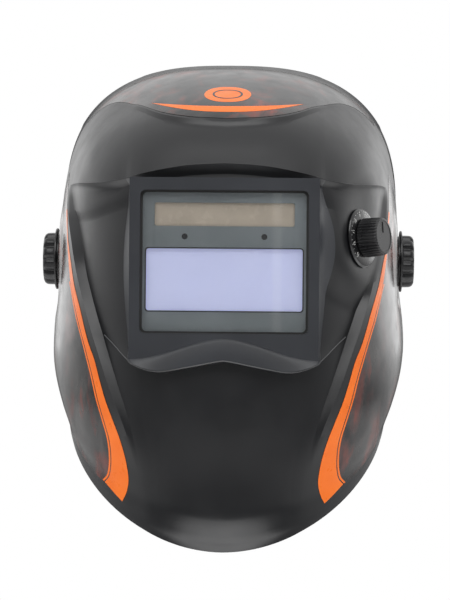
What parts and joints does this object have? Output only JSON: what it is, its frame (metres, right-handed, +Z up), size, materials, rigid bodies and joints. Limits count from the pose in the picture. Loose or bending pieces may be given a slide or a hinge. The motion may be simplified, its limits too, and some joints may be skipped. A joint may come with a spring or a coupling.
{
  "type": "welding helmet",
  "caption": "Auto-darkening welding helmet with a flip-up shell, a window with a filter cartridge, side tension knobs, a shade dial and ratchet headgear.",
  "frame": {"origin": "middle of the pivot axis through both side tension knobs, where the wearer's head is", "axes": "+Z up, the helmet faces -Y, +X is the wearer's left"},
  "size_m": [0.2266, 0.2515, 0.2892],
  "materials": {
    "shell_plastic": "satin black moulded nylon with a fine grain; the scene prints orange stripes and a smoky pattern on it",
    "black_nylon": "black moulded nylon with a light sheen",
    "knob_plastic": "glossy black moulded knobs",
    "grey_nylon": "dark grey nylon",
    "clear_polycarbonate": "clear polycarbonate",
    "case_plastic": "grey ABS filter case",
    "filter_glass": "lavender reflective coating of the ultraviolet and infrared filter",
    "solar_cell": "tan amorphous solar cell behind glass",
    "circuit_board": "green solder mask",
    "zinc_steel": "zinc plated steel",
    "brass": "turned brass",
    "rubber": "black rubber",
    "terry_cloth": "black terry cloth",
    "foam_pad": "dark knit cloth over foam"
  },
  "bodies": {
    "headgear": {"headband_front": "black_nylon", "sweatband": "terry_cloth", "crown_strap_left": "black_nylon", "crown_strap_right": "black_nylon", "side_bracket_left": "grey_nylon", "side_bracket_right": "grey_nylon", "ratchet_housing_inner": "black_nylon", "ratchet_housing_outer": "black_nylon", "detent_ring": "grey_nylon", "rear_pad": "foam_pad"},
    "left_carrier": {"slide_plate_left": "black_nylon", "pivot_stud_left": "zinc_steel", "stop_washer_left": "zinc_steel", "friction_washer_left": "rubber"},
    "right_carrier": {"slide_plate_right": "black_nylon", "pivot_stud_right": "zinc_steel", "stop_washer_right": "zinc_steel", "friction_washer_right": "rubber"},
    "visor": {"shell": "shell_plastic", "lens_gasket": "rubber", "front_cover_lens": "clear_polycarbonate", "filter_case_front": "case_plastic", "filter_case_back": "case_plastic", "uv_ir_glass": "filter_glass", "lcd_cell_outer": "filter_glass", "lcd_cell_inner": "filter_glass", "solar_panel": "solar_cell", "circuit_board": "circuit_board", "arc_sensor_left": "solar_cell", "arc_sensor_right": "solar_cell", "battery_left": "zinc_steel", "battery_right": "zinc_steel", "battery_cover_left": "case_plastic", "battery_cover_right": "case_plastic", "inner_cover_lens": "clear_polycarbonate", "filter_retainer": "grey_nylon", "shade_dial_bezel": "knob_plastic", "shade_pot_housing": "grey_nylon", "shade_pot_nut": "zinc_steel", "shade_lead": "rubber"},
    "shade_dial": {"shade_knob": "knob_plastic", "shade_pot_shaft": "zinc_steel"},
    "sensitivity_dial": {"sensitivity_knob": "knob_plastic"},
    "delay_dial": {"delay_knob": "knob_plastic"},
    "left_tension": {"tension_knob_left": "knob_plastic", "knob_insert_left": "brass"},
    "right_tension": {"tension_knob_right": "knob_plastic", "knob_insert_right": "brass"},
    "ratchet": {"ratchet_knob": "knob_plastic", "ratchet_pinion": "grey_nylon"},
    "left_tail": {"rear_strap_left": "black_nylon"},
    "right_tail": {"rear_strap_right": "black_nylon"}
  },
  "joints": [
    {"name": "distance_left", "type": "slide", "parent": "headgear", "child": "left_carrier", "axis": [0, 1, 0], "range_m": [-0.01, 0.01]},
    {"name": "distance_right", "type": "slide", "parent": "headgear", "child": "right_carrier", "axis": [0, 1, 0], "range_m": [-0.01, 0.01]},
    {"name": "visor_flip", "type": "hinge", "parent": "left_carrier", "child": "visor", "pos_m": [0, 0, 0], "axis": [-1, 0, 0], "range_deg": [0, 75]},
    {"name": "left_tension_turn", "type": "hinge", "parent": "left_carrier", "child": "left_tension", "pos_m": [0.108, 0, 0], "axis": [1, 0, 0], "range_deg": [-360, 90]},
    {"name": "right_tension_turn", "type": "hinge", "parent": "right_carrier", "child": "right_tension", "pos_m": [-0.108, 0, 0], "axis": [-1, 0, 0], "range_deg": [-360, 90]},
    {"name": "shade_turn", "type": "hinge", "parent": "visor", "child": "shade_dial", "pos_m": [0.0782, -0.0842, 0.0118], "axis": [0.8753, -0.4752, 0.09], "range_deg": [-135, 135]},
    {"name": "sensitivity_turn", "type": "hinge", "parent": "visor", "child": "sensitivity_dial", "pos_m": [0.028, -0.114, -0.0385], "axis": [0, 1, 0], "range_deg": [-135, 135]},
    {"name": "delay_turn", "type": "hinge", "parent": "visor", "child": "delay_dial", "pos_m": [-0.028, -0.114, -0.0385], "axis": [0, 1, 0], "range_deg": [-135, 135]},
    {"name": "ratchet_turn", "type": "hinge", "parent": "headgear", "child": "ratchet", "pos_m": [0, 0.11, -0.042], "axis": [0, -1, 0], "range_deg": [0, 137]},
    {"name": "left_tail_slide", "type": "slide", "parent": "headgear", "child": "left_tail", "axis": [-1, 0, 0], "range_m": [0, 0.012]},
    {"name": "right_tail_slide", "type": "slide", "parent": "headgear", "child": "right_tail", "axis": [1, 0, 0], "range_m": [0, 0.012]}
  ],
  "couplings": [
    {"joint": "distance_right", "follows": "distance_left", "ratio": 1},
    {"joint": "left_tail_slide", "follows": "ratchet_turn", "m_per_rad": 0.005},
    {"joint": "right_tail_slide", "follows": "ratchet_turn", "m_per_rad": 0.005}
  ]
}
